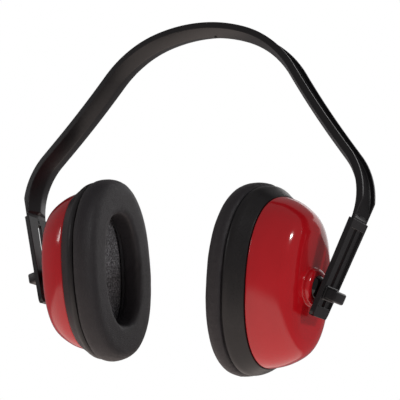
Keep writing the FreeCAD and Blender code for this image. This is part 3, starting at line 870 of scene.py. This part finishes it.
@dataclass
class Cup:
    """One ear cup. Depths are outwards from the face that seals on the head."""

    side: Side
    ball_depth: float = 43.1
    cup_depth: float = 41.8
    rim_depth: float = 21.6
    rim: tuple[float, float] = (29.8, 43.9)
    wall: float = 2.2
    stations: tuple[tuple[float, float, float], ...] = (
        (0.00, 1.000, 1.000),
        (0.30, 0.955, 0.962),
        (0.60, 0.860, 0.892),
        (0.82, 0.755, 0.815),
        (0.95, 0.615, 0.722),
        (1.00, 0.450, 0.620),
    )
    boss_radius: float = 9.5
    boss_rise: float = 2.5
    boss_round: float = 2.0
    boss_foot: tuple[tuple[float, float], ...] = ((0.02, 0.6), (0.2, 0.2), (0.5, 0.0))
    crest: tuple[float, float, float] = (10.8, 18.0, 2.15)
    mouth: tuple[float, float] = (6.45, 6.2)
    throat: float = 6.5
    socket_turns: tuple[float, ...] = (68.0, 75.0, 82.0, 90.0, 98.0)
    ball_radius: float = 6.55
    ledge: float = 1.3
    bore: float = 9.1
    tube: float = 11.4
    tube_end: float = 10.4
    base_depth: float = 11.6
    base: tuple[float, float] = (35.6, 48.7)
    bead: tuple[tuple[float, float, float], ...] = (
        (0.0, 1.40, 1.40),
        (0.1, 0.60, 0.60),
        (0.7, 0.10, 0.10),
        (1.7, 0.00, 0.00),
        (3.0, 0.40, 0.30),
        (4.2, 1.15, 0.95),
    )
    slant_start: float = 5.0
    slant_sink: tuple[float, float] = (1.75, 1.5)
    slant_proud: float = 0.35
    opening: tuple[float, float] = (24.0, 37.6)
    cushion: tuple[float, float] = (37.9, 49.6)
    cushion_back: float = 11.4
    cushion_shape: tuple[tuple[float, float, float], ...] = (
        (0.00, 0.935, 0.982),
        (0.08, 0.965, 1.000),
        (0.28, 0.990, 1.008),
        (0.50, 0.982, 1.005),
        (0.72, 0.950, 0.988),
        (0.87, 0.905, 0.955),
        (0.95, 0.865, 0.925),
        (0.99, 0.825, 0.885),
        (1.00, 0.760, 0.820),
    )
    dents: tuple[tuple[float, float], ...] = ((16.0, 0.21), (5.0, 0.048))
    hole: tuple[float, float] = (18.2, 30.4)
    hole_lip: tuple[tuple[float, float], ...] = ((0.1, 1.8), (0.7, 0.5), (2.4, 0.0))
    liner_front: float = 18.0
    liner_back: float = 30.0
    liner_crown: float = 5.8
    liner: tuple[float, float] = (23.9, 37.6)

    def local(self, depth: float) -> float:
        """A depth turned to a distance outwards from the ball."""
        return depth - self.ball_depth

    def shell_rings(self, inset: float) -> list[Ring]:
        """Rings up the shell's outside, or up its inside for an inset of its wall."""
        rise = self.cup_depth - self.rim_depth - inset
        rings = [
            Ring(self.local(self.rim_depth + share * rise), self.rim[0] * w - inset, self.rim[1] * h - inset)
            for share, w, h in self.stations
        ]
        return between(rings, 4)

    def shell(self) -> bmesh.types.BMesh:
        """The shell as one closed skin: outside, boss, socket, tube, inside and rim."""
        flat = self.local(self.cup_depth)
        top = self.boss_rise
        crown = self.boss_radius - self.boss_round
        outside = self.shell_rings(0.0)
        outside.append(Ring(flat, *self.crest))
        foot = [round_ring(flat + rise, self.boss_radius + spread) for rise, spread in self.boss_foot]
        dome = [round_ring(x, r) for x, r in arc((top - self.boss_round, crown), self.boss_round, 90, 0, 6)]
        lip = [round_ring(top, self.mouth[0]), round_ring(top - 0.08, self.mouth[1])]
        socket = [
            round_ring(self.ball_radius * math.cos(turn), self.ball_radius * math.sin(turn))
            for turn in map(math.radians, self.socket_turns)
        ]
        tube = [
            round_ring(-self.ledge, self.throat),
            round_ring(-self.ledge, self.bore),
            round_ring(-self.tube_end, self.bore),
            round_ring(-self.tube_end, self.tube),
            round_ring(flat - self.wall, self.tube),
        ]
        inside = list(reversed(self.shell_rings(self.wall)))
        rings = [*outside, *foot, *dome, *lip, *socket, *tube, *inside]
        return ring_skin(rings, Closing.LOOP, 96)

    def base_ring(self) -> bmesh.types.BMesh:
        """The black ring between shell and cushion, with its spigot inside the shell's rim."""
        back, rim = self.base_depth, self.rim_depth - 0.1
        width, height = self.base
        outer = [Ring(self.local(back + depth), width - w, height - h) for depth, w, h in self.bead]
        start = back + self.slant_start
        wide, tall = width - self.slant_sink[0], height - self.slant_sink[1]
        for share in (0.0, 0.33, 0.66, 0.93):
            outer.append(Ring(
                self.local(start + (rim - start) * share),
                wide - (wide - self.rim[0] - self.slant_proud) * share,
                tall - (tall - self.rim[1] - self.slant_proud) * share,
            ))
        outer.append(Ring(self.local(rim), self.rim[0] + 0.3, self.rim[1] + 0.3))
        fit = self.wall + 0.9
        spigot = [
            Ring(self.local(rim), self.rim[0] - fit, self.rim[1] - fit),
            Ring(self.local(rim + 3.0), self.rim[0] - fit - 0.8, self.rim[1] - fit - 0.8),
            Ring(self.local(rim + 3.0), self.rim[0] - fit - 2.2, self.rim[1] - fit - 2.2),
            Ring(self.local(back + 0.4), *self.opening),
            Ring(self.local(back), self.opening[0] + 0.4, self.opening[1] + 0.4),
        ]
        return ring_skin([*between(outer, 3), *spigot], Closing.LOOP, 96)

    def cushion_rings(self) -> list[Ring]:
        """The cushion before it is blown up, a little smaller than its skin."""
        width, height = self.cushion
        hole_w, hole_h = self.hole
        back = self.cushion_back
        outer = [
            Ring(self.local(back * (1 - share)), width * w, height * h) for share, w, h in self.cushion_shape
        ]
        lip = [Ring(self.local(depth), hole_w + flare, hole_h + flare) for depth, flare in self.hole_lip]
        return [*outer, *lip, Ring(self.local(back * 0.98), hole_w + 0.4, hole_h + 0.4)]

    def liner_rings(self) -> list[Ring]:
        """The foam pad, with its soft front edge."""
        width, height = self.liner
        front, back = self.liner_front, self.liner_back
        top = front - self.liner_crown
        return [
            Ring(self.local(top), width * 0.45, height * 0.55),
            Ring(self.local(top + 0.3), width * 0.8, height * 0.84),
            Ring(self.local(top + 1.2), width - 1.6, height - 1.8),
            Ring(self.local(top + 3.0), width - 0.7, height - 0.8),
            Ring(self.local(front + 2.4), width - 0.3, height - 0.3),
            Ring(self.local(back - 3.0), width - 1.2, height - 1.2),
            Ring(self.local(back), width - 2.8, height - 2.8),
        ]

    def build(self, finishes: Finishes) -> None:
        """Makes this side's cup."""
        suffix = self.side.suffix
        body = f"cup_{suffix}"
        place = cup_place(self.side).matrix()
        shell = make_object(self.shell(), f"shell_{suffix}", place)
        subdivide(shell, 1)
        fit_out(shell, body, "shell_red", finishes.shell, f"cup_shell_{suffix}")
        ring = make_object(self.base_ring(), f"ring_{suffix}", place)
        subdivide(ring, 1)
        fit_out(ring, body, "ring_black", finishes.ring, f"base_ring_{suffix}")
        liner = make_object(ring_skin(self.liner_rings(), Closing.CAPS, 64), f"liner_{suffix}", place)
        subdivide(liner, 1)
        fit_out(liner, body, "liner_foam", finishes.foam, f"foam_liner_{suffix}")
        self.build_cushion(finishes, place)
        for node in ("socket_retainer", "cushion_plate"):
            dress(f"{node}_{suffix}", finishes.socket)
        dress(f"swivel_washer_{suffix}", finishes.socket)

    def build_cushion(self, finishes: Finishes, place: Matrix) -> None:
        """Makes the sealing cushion and blows it up like the real welded skin."""
        suffix = self.side.suffix
        cushion = make_object(ring_skin(self.cushion_rings(), Closing.LOOP, 96), f"cushion_{suffix}", place)
        back = self.local(self.cushion_back) * MM
        inverse = place.inverted()
        inflate(cushion, lambda spot: (inverse @ spot).x > back - 1.2 * MM, voxel=1.6 * MM, cap=0.5 * MM)
        self.settle(cushion, place)
        subdivide(cushion, 1)
        fit_out(
            cushion, f"cup_{suffix}", "cushion_skin", finishes.skin,
            f"cushion_cover_{suffix}", f"cushion_foam_{suffix}",
        )

    def settle(self, cushion: bpy.types.Object, place: Matrix) -> None:
        """Keeps the cushion in its space, and gives its skin soft dents.

        Args:
            cushion: The blown-up cushion.
            place: The cup's frame.
        """
        inverse = place.inverted()
        face = self.local(0.0)
        for vert in cushion.data.vertices:
            spot = (inverse @ vert.co) / MM
            dent = sum(noise.noise(spot / size) * depth for size, depth in self.dents)
            spot.x = max(spot.x + dent, face)
            spot.x = min(spot.x, self.local(self.cushion_back))
            vert.co = place @ (spot * MM)


def inflate(piece: bpy.types.Object, pinned: Callable[[Vector], bool], voxel: float, cap: float) -> None:
    """Blows a closed piece up with a cloth simulation and keeps the result as its mesh.

    Args:
        piece: The piece, in place and with no modifiers.
        pinned: Whether a point of it is held, such as where the skin is welded to its plate.
        voxel: Size of the remesh in metres.
        cap: How far a point may move, in metres.
    """
    scene, last = bpy.context.scene, 20
    remesh = add_modifier(piece, "REMESH", mode="VOXEL", voxel_size=voxel, use_smooth_shade=True)
    even = bpy.data.meshes.new_from_object(piece.evaluated_get(bpy.context.evaluated_depsgraph_get()))
    piece.modifiers.remove(remesh)
    piece.data = even
    held = piece.vertex_groups.new(name="held")
    held.add([v.index for v in even.vertices if pinned(v.co)], 1.0, "REPLACE")
    cloth = add_modifier(piece, "CLOTH")
    cloth.settings.use_pressure = True
    cloth.settings.uniform_pressure_force = 4.0
    cloth.settings.effector_weights.gravity = 0.0
    cloth.settings.vertex_group_mass = "held"
    cloth.settings.tension_stiffness = 20.0
    cloth.settings.compression_stiffness = 20.0
    cloth.settings.bending_stiffness = 2.0
    cloth.point_cache.frame_start, cloth.point_cache.frame_end = 1, last
    start = [v.co.copy() for v in even.vertices]
    for number in range(1, last + 1):
        scene.frame_set(number)
    blown = piece.evaluated_get(bpy.context.evaluated_depsgraph_get()).data
    ends = [v.co.copy() for v in blown.vertices]
    piece.modifiers.remove(cloth)
    scene.frame_set(1)
    for vert, before, after in zip(even.vertices, start, ends):
        move = after - before
        if move.length > cap:
            move *= cap / move.length
        vert.co = before + move
    piece.vertex_groups.clear()


# ---------------------------------------------------------------- studio


@dataclass
class Studio:
    """Camera, lights, floor and surroundings. Lengths are in metres, angles in degrees.

    The floor shows in reflections only as far as its pool reaches, so a glossy shell gets a horizon.
    """

    target: tuple[float, float, float] = (0.007565, 0.0, -0.09138)
    distance: float = 0.672
    azimuth: float = 31.23
    elevation: float = -11.444
    roll: float = 6.647
    lens: float = 113.69
    floor_level: float = -0.5
    pool: float = 0.87
    pool_edge: float = 0.1
    pool_shift: float = 0.25
    floor_half: float = 4.0
    floor_glow: float = 0.6
    room_glow: float = 0.22

    def camera(self) -> None:
        """Sets the camera up."""
        azimuth, elevation, roll = (math.radians(a) for a in (self.azimuth, self.elevation, self.roll))
        away = Vector((
            math.sin(azimuth) * math.cos(elevation),
            -math.cos(azimuth) * math.cos(elevation),
            math.sin(elevation),
        ))
        level = Vector((math.cos(azimuth), math.sin(azimuth), 0.0))
        above = away.cross(level)
        right = math.cos(roll) * level + math.sin(roll) * above
        up = away.cross(right)
        turn = Matrix((right, up, away)).transposed().to_4x4()
        turn.translation = Vector(self.target) + away * self.distance
        data = bpy.data.cameras.new("camera")
        data.lens, data.sensor_width = self.lens, 36.0
        data.clip_start, data.clip_end = 0.01, 50.0
        camera = bpy.data.objects.new("camera", data)
        camera.matrix_world = turn
        bpy.context.scene.collection.objects.link(camera)
        bpy.context.scene.camera = camera

    def softbox(self, name: str, spot: Sequence[float], size: Sequence[float], power: float) -> None:
        """Adds an area light that faces the object.

        Args:
            name: The light's name.
            spot: Where it stands.
            size: Its width and height.
            power: Its power in watts.
        """
        data = bpy.data.lights.new(name, "AREA")
        data.shape, data.size, data.size_y, data.energy = "RECTANGLE", size[0], size[1], power
        light = bpy.data.objects.new(name, data)
        light.location = spot
        light.visible_camera = False
        light.rotation_mode = "QUATERNION"
        light.rotation_quaternion = (Vector(spot) - Vector(self.target)).to_track_quat("Z", "Y")
        bpy.context.scene.collection.objects.link(light)

    def surroundings(self) -> None:
        """Sets up a white background for the camera and a dimmer room for the reflections."""
        world = bpy.data.worlds.new("studio")
        world.use_nodes = True
        tree = world.node_tree
        tree.nodes.clear()
        seen = add_node(tree, "ShaderNodeLightPath", {}, {}).outputs["Is Camera Ray"]
        room = add_node(tree, "ShaderNodeBackground", {}, {
            "Color": linear("f6f0f2"), "Strength": self.room_glow,
        })
        white = add_node(tree, "ShaderNodeBackground", {}, {"Color": linear("ffffff"), "Strength": 1.0})
        both = add_node(tree, "ShaderNodeMixShader", {}, {
            0: seen, 1: room.outputs["Background"], 2: white.outputs["Background"],
        })
        add_node(tree, "ShaderNodeOutputWorld", {}, {"Surface": both.outputs["Shader"]})
        bpy.context.scene.world = world

    def floor(self) -> None:
        """Lays a pale floor well below the object, which fades away beyond its pool."""
        mesh = bmesh.new()
        bmesh.ops.create_grid(mesh, x_segments=2, y_segments=2, size=self.floor_half / MM)
        bmesh.ops.translate(mesh, vec=(0, 0, self.floor_level / MM), verts=mesh.verts)
        floor = make_object(mesh, "floor")
        material, tree, place = new_material("pale paper sweep")
        flat = add_node(tree, "ShaderNodeVectorMath", {"operation": "MULTIPLY_ADD"}, {
            0: place, 1: (1.0, 1.0, 0.0), 2: (self.pool_shift, 0.0, 0.0),
        })
        away = add_node(tree, "ShaderNodeVectorMath", {"operation": "LENGTH"}, {0: flat.outputs["Vector"]})
        edge = add_node(tree, "ShaderNodeMapRange", {"interpolation_type": "SMOOTHSTEP"}, {
            "Value": away.outputs["Value"], "From Min": self.pool - self.pool_edge,
            "From Max": self.pool + self.pool_edge, "To Min": 0.0, "To Max": 1.0,
        })
        paper = add_node(tree, "ShaderNodeBsdfPrincipled", {}, {
            "Base Color": linear("f4f4f4"), "Roughness": 0.9,
            "Emission Color": linear("ffeade"), "Emission Strength": self.floor_glow,
        })
        beyond = add_node(tree, "ShaderNodeBsdfTransparent", {}, {})
        surface = add_node(tree, "ShaderNodeMixShader", {}, {
            0: edge.outputs["Result"], 1: paper.outputs["BSDF"], 2: beyond.outputs["BSDF"],
        })
        add_node(tree, "ShaderNodeOutputMaterial", {}, {"Surface": surface.outputs["Shader"]})
        floor.data.materials.append(material)

    def build(self) -> None:
        """Makes the whole studio."""
        self.camera()
        self.surroundings()
        self.floor()
        self.softbox("key", spot=(1.33, -0.49, 0.42), size=(0.16, 0.16), power=4.5)
        self.softbox("strip", spot=(-1.2, -1.01, 0.19), size=(0.06, 0.35), power=0.9)
        self.softbox("back", spot=(0.2, 1.9, 0.75), size=(1.8, 1.0), power=5.0)
        view = bpy.context.scene.view_settings
        view.view_transform, view.look = "Standard", "None"


def main() -> None:
    """Builds every piece and the studio."""
    logging.basicConfig(level=logging.INFO, format="%(name)s: %(message)s")
    Studio().build()
    finishes = Finishes()
    Headband().build(finishes)
    for side in Side:
        Slider(side).build(finishes)
        Cup(side).build(finishes)


if __name__ == "__main__":
    main()
